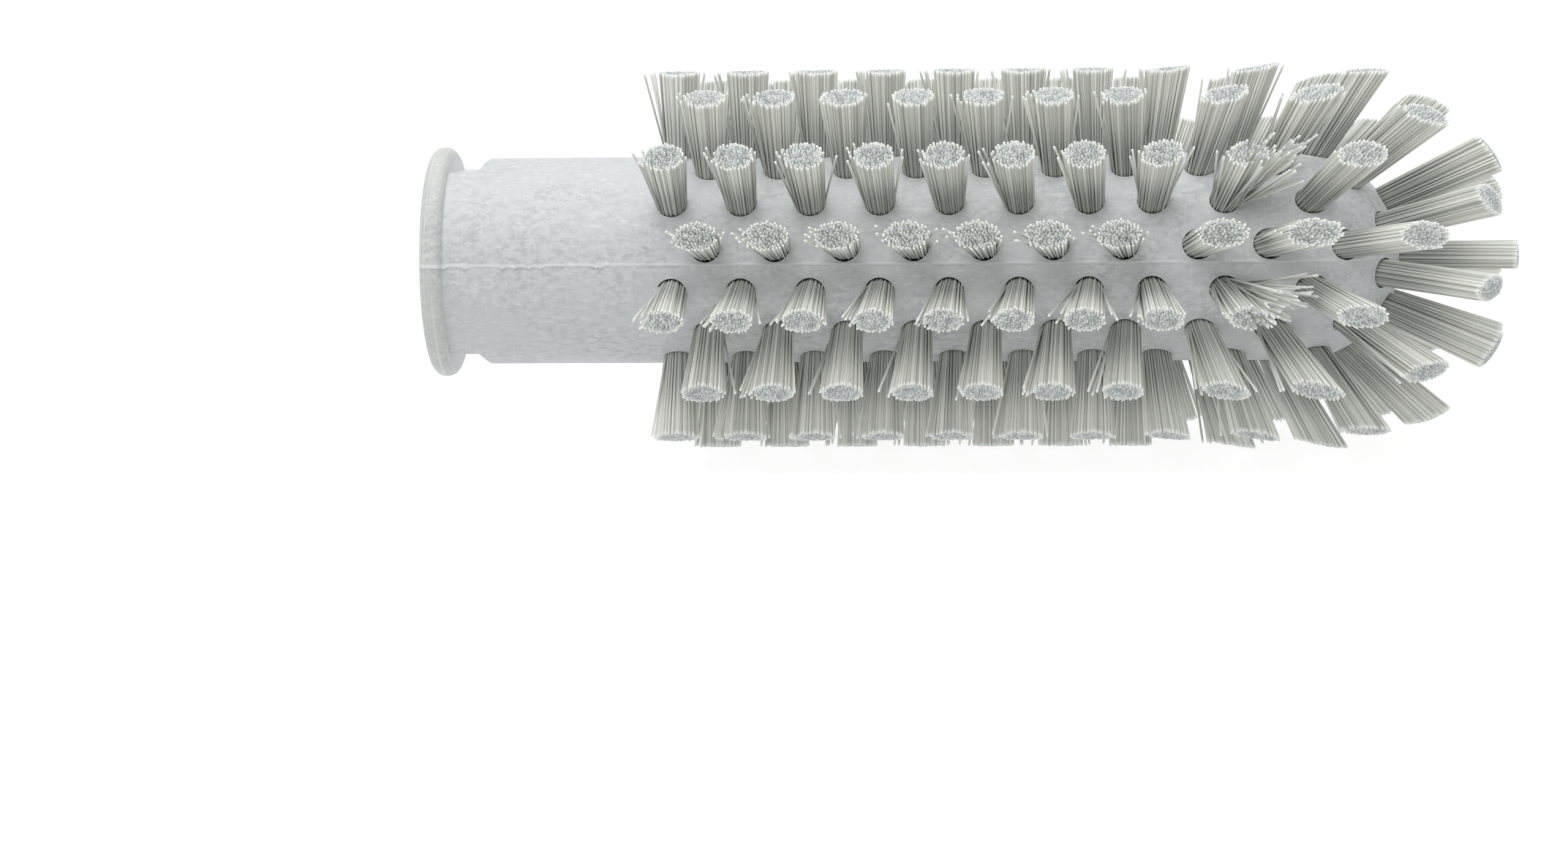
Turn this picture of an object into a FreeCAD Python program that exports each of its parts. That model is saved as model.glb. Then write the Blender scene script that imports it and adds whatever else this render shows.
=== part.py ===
import FreeCAD
import Part

import math
import os

# Valve brush: a moulded plastic body, turned up from one profile, with fourteen rows of straight
# bristle tufts set round it and one tuft on the end of its nose.
# It lies on its two lowest rows, as it would on a bench. X runs along the axis, from 0 at the mouth
# of the handle socket to the nose, and Z is up. Lengths are millimetres, angles are degrees.
# An azimuth is measured round the axis from -Y, the side that faces the viewer, up towards +Z.

# Body
BODY_DIAMETER = 38.1
BODY_LENGTH = 178.6
FLANGE_DIAMETER = 42.4
FLANGE_THICKNESS = 4.1
FLANGE_CHAMFER_HEIGHT = 0.9
FLANGE_CHAMFER_LENGTH = 1.1

# Two flats between the flange and the shank, square to the parting line of the mould
PARTING_AZIMUTH = 16.0
FLAT_FROM_AXIS = 17.0
FLAT_LENGTH = 4.9
FLAT_RUNOUT_LENGTH = 2.2
FLAT_CUT_MARGIN = 0.3

# Blind socket for the handle, smooth at the crest of its thread, with a drill point at its bottom
SOCKET_RADIUS = 7.3
SOCKET_DEPTH = 36.0
SOCKET_POINT_LENGTH = 3.0

# Tuft holes: rows round the body, every second row stepped half a pitch along it
ROW_SPACING = 8.55
TUFT_PITCH = 12.7
BARE_SHANK_LENGTH = 46.2
HOLE_DIAMETER = 5.56
HOLE_DEPTH = 7.0
HOLE_SIDES = 6
HOLE_CUT_MARGIN = 3.0

# Where the even pitch ends, and the tilted tufts beyond it. A setback is the distance along X from
# a tuft to the centre of the nose, a latitude is measured from that centre towards the tip, and a
# tilt is measured from the radial direction towards the nose
LAST_EVEN_SETBACK = 37.1
IN_STEP_FIRST_SETBACK = 25.6
IN_STEP_SECOND_SETBACK = 12.4
IN_STEP_LATITUDE = 9.7
IN_STEP_TILTS = (9.0, 18.0, 32.0, 66.0)
STEPPED_FIRST_SETBACK = 17.2
STEPPED_SECOND_SETBACK = 4.2
STEPPED_LATITUDE = 29.9
STEPPED_TILTS = (17.6, 28.0, 47.0)
NOSE_RING_SPACING = 9.0

# Tufts: the trimmed ends lie on a cylinder closed by a half ball
SWEEP_DIAMETER = 69.85
SWEEP_CENTRE_PLACE = 4.4
TUFT_ROOT_CLEARANCE = 0.12
TUFT_FLARE = 0.052

# Anchors: a flat wire across the bottom of each hole, which holds the folded filaments
ANCHOR_HEIGHT = 1.6
ANCHOR_THICKNESS = 0.5
ANCHOR_END_CLEARANCE = 0.05

BODY_RADIUS = BODY_DIAMETER / 2
NOSE_CENTRE_X = BODY_LENGTH - BODY_RADIUS
FLANGE_RADIUS = FLANGE_DIAMETER / 2
SWEEP_RADIUS = SWEEP_DIAMETER / 2
SWEEP_CENTRE_X = NOSE_CENTRE_X + SWEEP_CENTRE_PLACE
HOLE_RADIUS = HOLE_DIAMETER / 2
ROW_PAIRS = round(math.pi * BODY_DIAMETER / (2 * ROW_SPACING))
ROW_COUNT = 2 * ROW_PAIRS
ROW_STEP = 360.0 / ROW_COUNT
NOSE_RING_RADIUS = ROW_PAIRS * NOSE_RING_SPACING / (2 * math.pi)
AXIS = FreeCAD.Vector(1, 0, 0)
AXIS_POINT = FreeCAD.Vector(0, 0, 0)


class Tuft:
    """One tuft: where its hole leaves the body, which way it points and how far it reaches."""

    def __init__(self, x, azimuth, tilt):
        self.direction = outward(azimuth) * cosine(tilt) + AXIS * sine(tilt)
        self.along = AXIS * cosine(tilt) - outward(azimuth) * sine(tilt)
        self.across = self.direction.cross(self.along)
        self.root = AXIS * x + outward(azimuth) * body_radius_at(x)
        self.length = reach_to_sweep(x, body_radius_at(x), tilt)

    def point(self, height, radius=0.0, angle=0.0):
        """Return the point at a height above the root, off the tuft's own line."""
        offset = self.along * (radius * cosine(angle)) + self.across * (radius * sine(angle))
        return self.root + self.direction * height + offset

    def ring(self, height, radius):
        """Return the corners of a polygon square to the tuft, as large as a circle of a radius."""
        step = 360.0 / HOLE_SIDES
        corner_radius = radius * math.sqrt(2 * math.pi / (HOLE_SIDES * sine(step)))
        return [self.point(height, corner_radius, side * step) for side in range(HOLE_SIDES)]


def sine(angle):
    return math.sin(math.radians(angle))


def cosine(angle):
    return math.cos(math.radians(angle))


def outward(azimuth):
    """Return the direction straight out from the axis at an azimuth."""
    return FreeCAD.Vector(0, -cosine(azimuth), sine(azimuth))


def body_radius_at(x):
    """Return the radius of the shank, or of the round nose beyond its centre."""
    past_centre = max(x - NOSE_CENTRE_X, 0.0)
    return math.sqrt(max(BODY_RADIUS**2 - past_centre**2, 0.0))


def reach_to_sweep(x, radius, tilt):
    """Return the length of a tuft from its root to the trimmed cylinder or half ball."""
    reach = (SWEEP_RADIUS - radius) / max(cosine(tilt), 1e-6)
    if x + reach * sine(tilt) <= SWEEP_CENTRE_X:
        return reach
    past = x - SWEEP_CENTRE_X
    toward = past * sine(tilt) + radius * cosine(tilt)
    return math.sqrt(toward**2 - past**2 - radius**2 + SWEEP_RADIUS**2) - toward


def prism(lower, upper):
    """Return the solid with flat sides between two polygons that have matching corners."""
    count = len(lower)
    faces = [Part.Face(Part.makePolygon(lower + lower[:1])), Part.Face(Part.makePolygon(upper + upper[:1]))]
    for this in range(count):
        following = (this + 1) % count
        side = [lower[this], lower[following], upper[following], upper[this], lower[this]]
        faces.append(Part.Face(Part.makePolygon(side)))
    solid = Part.makeSolid(Part.makeShell(faces))
    if solid.Volume < 0:
        solid.reverse()
    return solid


def in_profile(x, radius):
    return FreeCAD.Vector(x, 0, radius)


def arc_in_profile(centre_x, centre_radius, radius, start, end):
    """Return an arc in the profile plane, from one angle to another."""
    points = [
        in_profile(centre_x + radius * cosine(angle), centre_radius + radius * sine(angle))
        for angle in (start, (start + end) / 2, end)
    ]
    return Part.Arc(*points).toShape()


def polyline(points):
    return [Part.LineSegment(start, end).toShape() for start, end in zip(points, points[1:])]


def body_profile():
    """Return the face that turns into the body, with its flange, nose and socket."""
    rim = FLANGE_RADIUS - FLANGE_CHAMFER_HEIGHT
    edges = polyline([
        in_profile(0, SOCKET_RADIUS),
        in_profile(0, rim),
        in_profile(FLANGE_CHAMFER_LENGTH, FLANGE_RADIUS),
        in_profile(FLANGE_THICKNESS - FLANGE_CHAMFER_LENGTH, FLANGE_RADIUS),
        in_profile(FLANGE_THICKNESS, rim),
        in_profile(FLANGE_THICKNESS, BODY_RADIUS),
        in_profile(NOSE_CENTRE_X, BODY_RADIUS),
    ])
    edges.append(arc_in_profile(NOSE_CENTRE_X, 0, BODY_RADIUS, 90, 0))
    edges += polyline([
        in_profile(BODY_LENGTH, 0),
        in_profile(SOCKET_DEPTH + SOCKET_POINT_LENGTH, 0),
        in_profile(SOCKET_DEPTH, SOCKET_RADIUS),
        in_profile(0, SOCKET_RADIUS),
    ])
    return Part.Face(Part.Wire(edges))


def flat_cutter():
    """Return the tool for the upper flat, whose run-out is two arcs that meet smoothly."""
    clear = FLANGE_RADIUS * 2
    flat_end = FLANGE_THICKNESS + FLAT_LENGTH
    rise = BODY_RADIUS - FLAT_FROM_AXIS + FLAT_CUT_MARGIN
    radius = (FLAT_RUNOUT_LENGTH**2 + rise**2) / (4 * rise)
    turn = 2 * math.degrees(math.atan2(rise, FLAT_RUNOUT_LENGTH))
    top_x = flat_end + FLAT_RUNOUT_LENGTH
    top = FLAT_FROM_AXIS + rise
    edges = polyline([
        in_profile(top_x, top),
        in_profile(top_x, clear),
        in_profile(FLANGE_THICKNESS, clear),
        in_profile(FLANGE_THICKNESS, FLAT_FROM_AXIS),
        in_profile(flat_end, FLAT_FROM_AXIS),
    ])
    edges.append(arc_in_profile(flat_end, FLAT_FROM_AXIS + radius, radius, 270, 270 + turn))
    edges.append(arc_in_profile(top_x, top - radius, radius, 90 + turn, 90))
    tool = Part.Face(Part.Wire(edges)).extrude(FreeCAD.Vector(0, 2 * BODY_DIAMETER, 0))
    tool.translate(FreeCAD.Vector(0, -BODY_DIAMETER, 0))
    return tool


def flat_cutters():
    """Return the tools for both flats, turned square to the parting line."""
    cutters = []
    for side in (0, 180):
        tool = flat_cutter()
        tool.rotate(AXIS_POINT, AXIS, side - PARTING_AZIMUTH)
        cutters.append(tool)
    return cutters


def hole_cutter(tuft):
    """Return the tool for one blind tuft hole."""
    return prism(tuft.ring(-HOLE_DEPTH, HOLE_RADIUS), tuft.ring(HOLE_CUT_MARGIN, HOLE_RADIUS))


def nose_x(latitude):
    return NOSE_CENTRE_X + BODY_RADIUS * sine(latitude)


def tilted_places(stepped):
    """Return the place along X and the tilt of each tuft beyond the even pitch of a row."""
    if stepped:
        places = (
            NOSE_CENTRE_X - STEPPED_FIRST_SETBACK,
            NOSE_CENTRE_X - STEPPED_SECOND_SETBACK,
            nose_x(STEPPED_LATITUDE),
        )
        return list(zip(places, STEPPED_TILTS))
    places = (
        NOSE_CENTRE_X - IN_STEP_FIRST_SETBACK,
        NOSE_CENTRE_X - IN_STEP_SECOND_SETBACK,
        nose_x(IN_STEP_LATITUDE),
        nose_x(math.degrees(math.acos(NOSE_RING_RADIUS / BODY_RADIUS))),
    )
    return list(zip(places, IN_STEP_TILTS))


def tuft_rows():
    """Return the tufts of each row, from the flange to the nose."""
    last_in_step_x = NOSE_CENTRE_X - LAST_EVEN_SETBACK
    even_span = last_in_step_x - BARE_SHANK_LENGTH
    even_count = int(even_span / TUFT_PITCH + 1e-6) + 1
    rows = []
    for row in range(ROW_COUNT):
        stepped = row % 2 == 1
        last_even_x = last_in_step_x + (TUFT_PITCH / 2 if stepped else 0.0)
        places = [(last_even_x - TUFT_PITCH * step, 0.0) for step in reversed(range(even_count))]
        places += tilted_places(stepped)
        rows.append([Tuft(x, row * ROW_STEP, tilt) for x, tilt in places])
    return rows


def tip_tuft():
    return Tuft(BODY_LENGTH, 0.0, 90.0)


def make_body(tufts):
    """Return the moulded body with its flats and every tuft hole."""
    blank = body_profile().revolve(AXIS_POINT, AXIS, 360)
    cutters = flat_cutters() + [hole_cutter(tuft) for tuft in tufts]
    return blank.cut(cutters)


def make_tuft(tuft):
    """Return the bundle of filaments as one solid, which stands on its anchor and flares outwards."""
    foot = -HOLE_DEPTH + ANCHOR_HEIGHT
    root_radius = HOLE_RADIUS - TUFT_ROOT_CLEARANCE
    foot_radius = root_radius + TUFT_FLARE * foot
    tip_radius = root_radius + TUFT_FLARE * tuft.length
    return prism(tuft.ring(foot, foot_radius), tuft.ring(tuft.length, tip_radius))


def make_anchor(tuft):
    """Return the flat wire that stands on edge across the bottom of a hole."""
    half_length = HOLE_RADIUS - ANCHOR_END_CLEARANCE
    half_thickness = ANCHOR_THICKNESS / 2
    corners = ((-1, -1), (1, -1), (1, 1), (-1, 1))

    def outline(height):
        centre = tuft.point(height)
        return [
            centre + tuft.along * (half_length * end) + tuft.across * (half_thickness * side)
            for end, side in corners
        ]

    return prism(outline(-HOLE_DEPTH), outline(-HOLE_DEPTH + ANCHOR_HEIGHT))


def export(shape, node):
    shape.exportStep("parts/" + node + ".step")
    print(node, "solids", len(shape.Solids), "valid", shape.isValid(), "volume", round(shape.Volume, 1))


def main():
    os.makedirs("parts", exist_ok=True)
    rows = tuft_rows()
    tip = tip_tuft()
    body = make_body([tuft for row in rows for tuft in row] + [tip])
    export(body, "brush_body")
    for number, row in enumerate(rows, start=1):
        export(Part.makeCompound([make_tuft(tuft) for tuft in row]), "tuft_row_%02d" % number)
        export(Part.makeCompound([make_anchor(tuft) for tuft in row]), "anchor_row_%02d" % number)
    export(make_tuft(tip), "nose_tuft")
    export(make_anchor(tip), "nose_anchor")


main()
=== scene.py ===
import logging
import math
from collections.abc import Callable, Iterable
from dataclasses import dataclass, field
from enum import Enum

import bmesh
import bpy
import numpy as np
from mathutils import Matrix, Vector, noise

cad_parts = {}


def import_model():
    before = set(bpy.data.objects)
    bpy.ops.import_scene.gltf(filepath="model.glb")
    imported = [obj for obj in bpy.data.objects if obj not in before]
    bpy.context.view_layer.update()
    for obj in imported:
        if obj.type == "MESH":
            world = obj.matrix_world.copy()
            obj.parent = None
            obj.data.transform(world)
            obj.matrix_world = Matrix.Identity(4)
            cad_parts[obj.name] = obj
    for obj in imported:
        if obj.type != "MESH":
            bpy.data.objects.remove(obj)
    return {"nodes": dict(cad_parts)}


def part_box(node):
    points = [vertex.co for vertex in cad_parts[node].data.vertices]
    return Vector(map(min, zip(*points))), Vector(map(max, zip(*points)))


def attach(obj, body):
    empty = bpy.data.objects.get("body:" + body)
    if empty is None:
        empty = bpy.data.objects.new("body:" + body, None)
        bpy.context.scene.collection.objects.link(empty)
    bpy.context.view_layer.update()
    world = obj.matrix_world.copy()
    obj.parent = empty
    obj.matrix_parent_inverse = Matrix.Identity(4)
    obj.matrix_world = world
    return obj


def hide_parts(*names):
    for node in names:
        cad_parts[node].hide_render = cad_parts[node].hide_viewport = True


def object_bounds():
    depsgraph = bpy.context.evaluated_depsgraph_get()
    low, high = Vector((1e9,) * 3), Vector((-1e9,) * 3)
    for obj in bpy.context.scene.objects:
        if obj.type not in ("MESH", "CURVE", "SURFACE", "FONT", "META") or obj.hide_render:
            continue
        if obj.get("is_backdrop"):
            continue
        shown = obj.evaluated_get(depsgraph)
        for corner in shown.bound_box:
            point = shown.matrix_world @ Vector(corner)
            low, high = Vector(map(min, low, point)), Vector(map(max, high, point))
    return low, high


# Looks of a valve brush: a moulded body with its mould flash, 148 tufts of straight filaments and the
# wires that hold them. X runs along the axis from the flange to the nose and Z is up. Lengths are
# metres, written in millimetres through MM, and an azimuth is measured round the axis from -Y, the
# side that faces the viewer, up towards +Z.

MM = 0.001
ROOT = "root"
GOLDEN_ANGLE = math.pi * (3 - math.sqrt(5))
SAME_PLACE_DECIMALS = 6
TRIM_ROUNDS = 3
LEAST_FACING = 0.4
# Each inner ring of a filament: its even share of the length, and the share it is moved to
RING_LEVELS = ((0.333, 0.25), (0.667, 0.978))

log = logging.getLogger("valve_brush")

Inputs = dict[str | int, object]
Socket = bpy.types.NodeSocket
Span = tuple[float, float]
Triple = tuple[float, float, float]
Colour = tuple[float, float, float, float]


class Slot(str, Enum):
    """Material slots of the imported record."""

    PLASTIC = "body_plastic"
    BRISTLE = "bristle"
    WIRE = "anchor_wire"


def to_linear(red: int, green: int, blue: int) -> Colour:
    """Turn a display colour into the linear colour that a shader takes.

    Args:
        red: Red, from 0 to 255.
        green: Green, from 0 to 255.
        blue: Blue, from 0 to 255.

    Returns:
        The linear colour, with an alpha of one.
    """
    channels = [value / 255 for value in (red, green, blue)]
    linear = [c / 12.92 if c <= 0.04045 else ((c + 0.055) / 1.055) ** 2.4 for c in channels]
    return (*linear, 1.0)


def outward(azimuth: float) -> Vector:
    """Return the direction straight out from the axis at an azimuth in degrees."""
    turn = math.radians(azimuth)
    return Vector((0, -math.cos(turn), math.sin(turn)))


class Nodes:
    """A node tree under construction, with short calls that add, set and link its nodes."""

    def __init__(self, tree: bpy.types.NodeTree) -> None:
        """Start on a tree.

        Args:
            tree: The shader or geometry tree that receives the nodes.
        """
        self.tree = tree

    def add(self, kind: str, inputs: Inputs | None = None, **settings: object) -> bpy.types.Node:
        """Add a node.

        Args:
            kind: The node's type name.
            inputs: Values or sockets for its inputs, by name or number.
            settings: The node's own properties.

        Returns:
            The new node.
        """
        node = self.tree.nodes.new(kind)
        for name, value in settings.items():
            setattr(node, name, value)
        for key, value in (inputs or {}).items():
            self.feed(value, node.inputs[key])
        return node

    def feed(self, value: object, socket: Socket) -> None:
        """Link a socket to an input, or set the input's own value.

        Args:
            value: An output socket, or a plain value.
            socket: The input that takes it.
        """
        if isinstance(value, Socket):
            self.tree.links.new(value, socket)
        else:
            socket.default_value = value

    def math(self, operation: str, first: object, second: object = 0.0, clamp: bool = False) -> Socket:
        """Add a Math node and return its output."""
        node = self.add("ShaderNodeMath", {0: first, 1: second}, operation=operation, use_clamp=clamp)
        return node.outputs[0]

    def vector(self, operation: str, first: object, second: object = (0.0, 0.0, 0.0)) -> Socket:
        """Add a Vector Math node and return its vector."""
        node = self.add("ShaderNodeVectorMath", {0: first, 1: second}, operation=operation)
        return node.outputs["Vector"]

    def measure(self, operation: str, first: object, second: object = (0.0, 0.0, 0.0)) -> Socket:
        """Add a Vector Math node that gives a number, such as a length, and return it."""
        node = self.add("ShaderNodeVectorMath", {0: first, 1: second}, operation=operation)
        return node.outputs["Value"]

    def scale(self, vector: object, factor: object) -> Socket:
        """Multiply a vector by a number and return it."""
        node = self.add("ShaderNodeVectorMath", {0: vector, "Scale": factor}, operation="SCALE")
        return node.outputs["Vector"]

    def blend(self, factor: object, first: object, second: object, mode: str = "MIX") -> Socket:
        """Mix two colours and return the result.

        Args:
            factor: How much of the second colour shows.
            first: The colour underneath.
            second: The colour on top.
            mode: The blend mode.

        Returns:
            The mixed colour.
        """
        node = self.add("ShaderNodeMix", data_type="RGBA", blend_type=mode)
        for value, socket in ((factor, node.inputs[0]), (first, node.inputs[6]), (second, node.inputs[7])):
            self.feed(value, socket)
        return node.outputs[2]

    def ramp(self, value: object, start: float, end: float) -> Socket:
        """Return how far a value is from start to end, smoothed and held between 0 and 1."""
        node = self.add("ShaderNodeMapRange", {"Value": value}, interpolation_type="SMOOTHSTEP")
        node.inputs["From Min"].default_value = start
        node.inputs["From Max"].default_value = end
        return node.outputs["Result"]

    def times(self, first: object, second: object) -> Socket:
        """Multiply two numbers and return the product."""
        return self.math("MULTIPLY", first, second)

    def grain(self, place: object, scale: float = 1.0, detail: float = 2.0, roughness: float = 0.5) -> Socket:
        """Add a Noise Texture node and return its level, which varies round a half."""
        inputs = {"Vector": place, "Scale": scale, "Detail": detail, "Roughness": roughness}
        return self.add("ShaderNodeTexNoise", inputs).outputs["Fac"]

    def carried(self, name: str) -> Socket:
        """Return a number that the mesh carries under a name."""
        return self.add("ShaderNodeAttribute", attribute_name=name).outputs["Fac"]


def new_group(name: str, kind: str, inputs: dict[str, tuple[str, object]], outputs: dict[str, str]) -> Nodes:
    """Create a node group with named sockets.

    Args:
        name: The group's name.
        kind: ShaderNodeTree or GeometryNodeTree.
        inputs: Socket kind and default value of each input, by name.
        outputs: Socket kind of each output, by name.

    Returns:
        The group's nodes, ready to be filled.
    """
    tree = bpy.data.node_groups.new(name, kind)
    for label, (socket_kind, value) in inputs.items():
        socket = tree.interface.new_socket(label, in_out="INPUT", socket_type=socket_kind)
        if value is not None:
            socket.default_value = value
    for label, socket_kind in outputs.items():
        tree.interface.new_socket(label, in_out="OUTPUT", socket_type=socket_kind)
    return Nodes(tree)


def empty_nodes(owner: bpy.types.Material | bpy.types.World) -> Nodes:
    """Switch on the nodes of a material or world, and return its tree with nothing in it."""
    owner.use_nodes = True
    owner.node_tree.nodes.clear()
    return Nodes(owner.node_tree)


def new_material(name: str) -> tuple[bpy.types.Material, Nodes, bpy.types.Node]:
    """Create an empty material.

    Args:
        name: The material's name.

    Returns:
        The material, its nodes and its Principled shader.
    """
    material = bpy.data.materials.new(name)
    nodes = empty_nodes(material)
    shader = nodes.add("ShaderNodeBsdfPrincipled")
    nodes.add("ShaderNodeOutputMaterial", {"Surface": shader.outputs[0]})
    return material, nodes, shader


def streak_group() -> bpy.types.NodeTree:
    """Build the group that draws streaks along X, for flow lines in plastic and brushing on wire.

    Returns:
        The group. Its Mask is 1 on a streak and 0 beside it, and its Grain varies round a half.
    """
    nodes = new_group(
        "streaks_along_x",
        "ShaderNodeTree",
        {
            "Streaks Along": ("NodeSocketFloat", 40.0),
            "Streaks Across": ("NodeSocketFloat", 700.0),
            "Threshold": ("NodeSocketFloat", 0.6),
            "Softness": ("NodeSocketFloat", 0.08),
        },
        {"Mask": "NodeSocketFloat", "Grain": "NodeSocketFloat"},
    )
    group_in = nodes.add("NodeGroupInput")
    place = nodes.add("ShaderNodeTexCoord").outputs["Object"]
    along, across = group_in.outputs["Streaks Along"], group_in.outputs["Streaks Across"]
    stretch = nodes.add("ShaderNodeCombineXYZ", {0: along, 1: across, 2: across}).outputs[0]
    grain = nodes.grain(nodes.vector("MULTIPLY", place, stretch), detail=3.0, roughness=0.6)
    above = nodes.math("SUBTRACT", grain, group_in.outputs["Threshold"])
    mask = nodes.math("DIVIDE", above, group_in.outputs["Softness"], clamp=True)
    nodes.add("NodeGroupOutput", {"Mask": mask, "Grain": grain})
    return nodes.tree


@dataclass(frozen=True)
class MouldedPlastic:
    """Pale, cool grey moulded plastic with flow streaks, faint mottling and a lighter mould flash."""

    colour: Colour = to_linear(215, 219, 220)
    streak_colour: Colour = to_linear(236, 238, 238)
    shade_colour: Colour = to_linear(187, 193, 194)
    flange_colour: Colour = to_linear(212, 213, 209)
    flange_end: float = 4.1 * MM
    flange_edge: float = 0.1 * MM
    flange_share: float = 0.75
    roughness: float = 0.42
    specular_level: float = 0.35
    fibre_scale: Triple = (560.0, 900.0, 900.0)
    fibre_range: Span = (0.4, 0.66)
    cloud_scale: float = 70.0
    cloud_range: Span = (0.2, 0.8)
    pit_scale: float = 1500.0
    pit_share: float = 0.3
    bump_height: float = 0.03 * MM
    bump_strength: float = 0.5
    streaks_along: float = 620.0
    streaks_across: float = 1500.0
    streak_threshold: float = 0.56
    streak_share: float = 0.5
    hairline_scale: Triple = (2600.0, 30.0, 30.0)
    hairline_range: Span = (0.6, 0.72)
    hairline_share: float = 0.14
    flange_hairline_share: float = 0.4
    flash_share: float = 0.5

    def build(self, streaks: bpy.types.NodeTree) -> bpy.types.Material:
        """Make the material.

        Args:
            streaks: The group that draws streaks along X.

        Returns:
            The material.
        """
        material, nodes, shader = new_material("moulded_plastic")
        place = nodes.add("ShaderNodeTexCoord").outputs["Object"]
        fibre = nodes.grain(nodes.vector("MULTIPLY", place, self.fibre_scale), detail=4.0, roughness=0.65)
        cloud = nodes.grain(place, self.cloud_scale)
        pits = nodes.grain(place, self.pit_scale)
        hairlines = nodes.grain(nodes.vector("MULTIPLY", place, self.hairline_scale), detail=1.0)
        streak_sizes = {
            "Streaks Along": self.streaks_along,
            "Streaks Across": self.streaks_across,
            "Threshold": self.streak_threshold,
        }
        streak = nodes.add("ShaderNodeGroup", streak_sizes, node_tree=streaks).outputs["Mask"]
        shade = nodes.times(nodes.ramp(fibre, *self.fibre_range), nodes.ramp(cloud, *self.cloud_range))
        place_x = nodes.add("ShaderNodeSeparateXYZ", {0: place}).outputs[0]
        on_flange = nodes.ramp(place_x, self.flange_end, self.flange_end - self.flange_edge)
        more_hairlines = nodes.times(on_flange, self.flange_hairline_share)
        hairline_share = nodes.math("ADD", self.hairline_share, more_hairlines)
        base = nodes.blend(nodes.times(on_flange, self.flange_share), self.colour, self.flange_colour)
        colour = nodes.blend(shade, base, self.shade_colour)
        for share in (
            nodes.times(streak, self.streak_share),
            nodes.times(nodes.ramp(hairlines, *self.hairline_range), hairline_share),
            nodes.times(nodes.carried("flash"), self.flash_share),
        ):
            colour = nodes.blend(share, colour, self.streak_colour)
        height = nodes.math("ADD", nodes.times(fibre, 1 - self.pit_share), nodes.times(pits, self.pit_share))
        relief = {"Height": height, "Strength": self.bump_strength, "Distance": self.bump_height}
        nodes.feed(colour, shader.inputs["Base Color"])
        nodes.feed(nodes.add("ShaderNodeBump", relief).outputs[0], shader.inputs["Normal"])
        shader.inputs["Roughness"].default_value = self.roughness
        shader.inputs["Specular IOR Level"].default_value = self.specular_level
        return material


@dataclass(frozen=True)
class Filament:
    """Warm grey synthetic filament with a cut end, cooler in the middle of a tuft than at its rim, where
    painted light makes the ends lighter; painted shade darkens the foot and a painted glow brightens the part
    near the end.
    """

    side_colour: Colour = to_linear(236, 237, 231)
    dark_colour: Colour = to_linear(190, 192, 186)
    end_colour: Colour = to_linear(222, 227, 226)
    dark_end_colour: Colour = to_linear(170, 176, 177)
    rim_light_colour: Colour = to_linear(243, 245, 240)
    roughness: float = 0.4
    specular_level: float = 0.4
    end_range: Span = (0.955, 1.0)
    rim_light_range: Span = (0.4, 1.0)
    end_glow: float = 0.14
    side_glow: float = 0.13
    glow_range: Span = (0.4, 0.95)
    painted_foot_shade: float = 0.8
    painted_foot_range: Span = (0.3, 0.85)
    scatter_weight: float = 0.4
    scatter_radius: Triple = (1.0, 1.0, 0.95)
    scatter_depth: float = 0.4 * MM

    def build(self) -> bpy.types.Material:
        """Make the material, which reads the height, tint and place in the tuft that a filament carries."""
        material, nodes, shader = new_material("filament")
        height, tint, rim = (nodes.carried(name) for name in ("height", "tint", "rim"))
        side = nodes.blend(tint, self.dark_colour, self.side_colour)
        # Painted shade: the sides of each filament are darker towards its foot, deep in the bundle near the
        # body
        shaded = nodes.blend(1.0, side, (self.painted_foot_shade, self.painted_foot_shade, self.painted_foot_shade, 1.0), "MULTIPLY")
        side = nodes.blend(nodes.ramp(height, *self.painted_foot_range), shaded, side)
        middle = nodes.blend(tint, self.dark_end_colour, self.end_colour)
        # Painted light: the cut ends lighten towards the rim of the tuft, so the middle of the tuft's end
        # reads darker
        end = nodes.blend(nodes.ramp(rim, *self.rim_light_range), middle, self.rim_light_colour)
        at_end = nodes.ramp(height, *self.end_range)
        colour = nodes.blend(at_end, side, end)
        nodes.feed(colour, shader.inputs["Base Color"])
        # Painted light: an emitted glow stands in for the light that a filament leads along itself, so it is
        # brighter near its cut end than the light on it
        glow = nodes.times(nodes.ramp(height, *self.glow_range), self.side_glow)
        glow = nodes.math("ADD", glow, nodes.times(at_end, self.end_glow - self.side_glow))
        nodes.feed(nodes.blend(glow, (0.0, 0.0, 0.0, 1.0), colour), shader.inputs["Emission Color"])
        for name, value in (
            ("Emission Strength", 1.0),
            ("Roughness", self.roughness),
            ("Specular IOR Level", self.specular_level),
            ("Subsurface Weight", self.scatter_weight),
            ("Subsurface Radius", self.scatter_radius),
            ("Subsurface Scale", self.scatter_depth),
        ):
            shader.inputs[name].default_value = value
        material.cycles.emission_sampling = "NONE"
        return material


@dataclass(frozen=True)
class AnchorWire:
    """Flat brushed stainless wire."""

    colour: Colour = to_linear(205, 205, 203)
    dark_colour: Colour = to_linear(170, 170, 168)
    roughness: float = 0.32
    brushing_across: float = 9000.0

    def build(self, streaks: bpy.types.NodeTree) -> bpy.types.Material:
        """Make the material from the group that draws streaks along X."""
        material, nodes, shader = new_material("anchor_wire")
        brushing = nodes.add("ShaderNodeGroup", {"Streaks Across": self.brushing_across}, node_tree=streaks)
        colour = nodes.blend(brushing.outputs["Grain"], self.dark_colour, self.colour)
        nodes.feed(colour, shader.inputs["Base Color"])
        shader.inputs["Metallic"].default_value = 1.0
        shader.inputs["Roughness"].default_value = self.roughness
        return material


@dataclass
class Tuft:
    """Where one tuft of the frame stands, in metres."""

    foot: Vector
    tip: Vector

    @property
    def axis(self) -> Vector:
        """Return the direction from the foot to the tip."""
        return (self.tip - self.foot).normalized()

    @property
    def along(self) -> Vector:
        """Return the direction square to the tuft that lies nearest to the brush's own axis."""
        side = Vector((1, 0, 0)) - self.axis * self.axis.x
        return side.normalized() if side.length > 1e-3 else Vector((0, 1, 0))

    @property
    def across(self) -> Vector:
        """Return the direction square to the tuft and to its along direction."""
        return self.axis.cross(self.along)


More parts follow.
